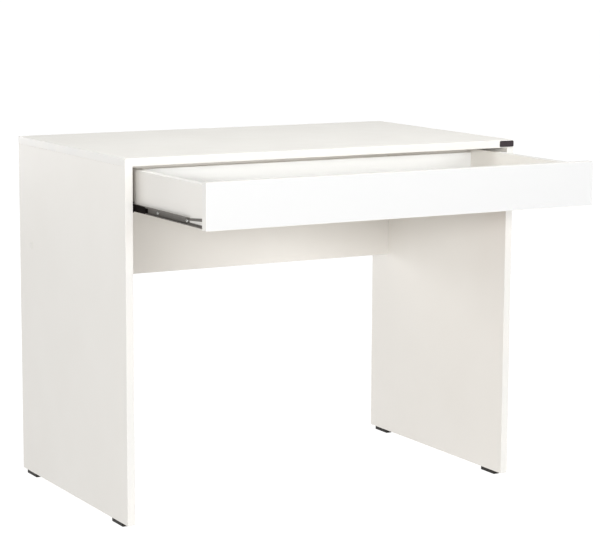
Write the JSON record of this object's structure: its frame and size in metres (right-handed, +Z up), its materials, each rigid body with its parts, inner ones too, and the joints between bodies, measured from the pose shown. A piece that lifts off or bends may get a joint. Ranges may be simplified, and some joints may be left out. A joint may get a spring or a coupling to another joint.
{
  "type": "writing desk",
  "caption": "White panel-sided writing desk with a full-width drawer on side-mounted ball slides, modesty panel and low black glides.",
  "frame": {"origin": "on the floor, at the centre of the rectangle that the desk and its open drawer cover", "axes": "+X to the user's right along the width, +Y from the user towards the rear, +Z up"},
  "size_m": [0.9016, 0.842, 0.73],
  "materials": {
    "white_board": "white melamine-faced chipboard, fine satin texture",
    "white_edging": "white plastic edging, satin",
    "hardboard": "thin hardboard, white painted on top",
    "black_plastic": "black moulded plastic, satin",
    "white_plastic": "white moulded plastic, satin",
    "dark_plate": "dark gloss plastic, blank",
    "black_steel": "black electrophoretic coat, satin",
    "ball_steel": "polished ball bearings",
    "zinc_steel": "zinc plated",
    "die_cast": "grey die-cast zinc",
    "beech": "plain fluted beech dowel",
    "black_rubber": "matt black rubber"
  },
  "bodies": {
    "desk": {"top_panel": "white_board", "left_side_panel": "white_board", "right_side_panel": "white_board", "modesty_panel": "white_board", "top_edging": "white_edging", "left_side_edging": "white_edging", "right_side_edging": "white_edging", "modesty_edging": "white_edging", "top_cam_locks": "die_cast", "top_cam_bolts": "zinc_steel", "top_dowels": "beech", "modesty_cam_locks": "die_cast", "modesty_cam_bolts": "zinc_steel", "modesty_dowels": "beech", "modesty_screws": "zinc_steel", "screw_cover_caps": "white_plastic", "front_left_foot": "black_plastic", "front_right_foot": "black_plastic", "rear_left_foot": "black_plastic", "rear_right_foot": "black_plastic", "foot_screws": "zinc_steel", "blank_edge_plate": "dark_plate", "left_cabinet_rail": "black_steel", "right_cabinet_rail": "black_steel", "cabinet_rail_screws": "zinc_steel", "rail_bumpers": "black_rubber"},
    "drawer": {"drawer_front": "white_board", "drawer_front_edging": "white_edging", "drawer_left_side": "white_board", "drawer_right_side": "white_board", "drawer_back": "white_board", "drawer_box_edging": "white_edging", "drawer_bottom": "hardboard", "drawer_cam_locks": "die_cast", "drawer_cam_bolts": "zinc_steel", "drawer_dowels": "beech", "drawer_back_screws": "zinc_steel", "drawer_bottom_screws": "zinc_steel", "left_drawer_rail": "black_steel", "right_drawer_rail": "black_steel", "drawer_rail_screws": "zinc_steel", "release_levers": "black_plastic"},
    "left_ball_set": {"left_ball_cage": "zinc_steel", "left_balls": "ball_steel"},
    "right_ball_set": {"right_ball_cage": "zinc_steel", "right_balls": "ball_steel"}
  },
  "joints": [
    {"name": "drawer_slide", "type": "slide", "parent": "desk", "child": "drawer", "axis": [0, -1, 0], "range_m": [-0.302, 0]},
    {"name": "left_ball_set_slide", "type": "slide", "parent": "desk", "child": "left_ball_set", "axis": [0, -1, 0], "range_m": [-0.151, 0]},
    {"name": "right_ball_set_slide", "type": "slide", "parent": "desk", "child": "right_ball_set", "axis": [0, -1, 0], "range_m": [-0.151, 0]}
  ],
  "couplings": [
    {"joint": "left_ball_set_slide", "follows": "drawer_slide", "ratio": 0.5},
    {"joint": "right_ball_set_slide", "follows": "drawer_slide", "ratio": 0.5}
  ]
}
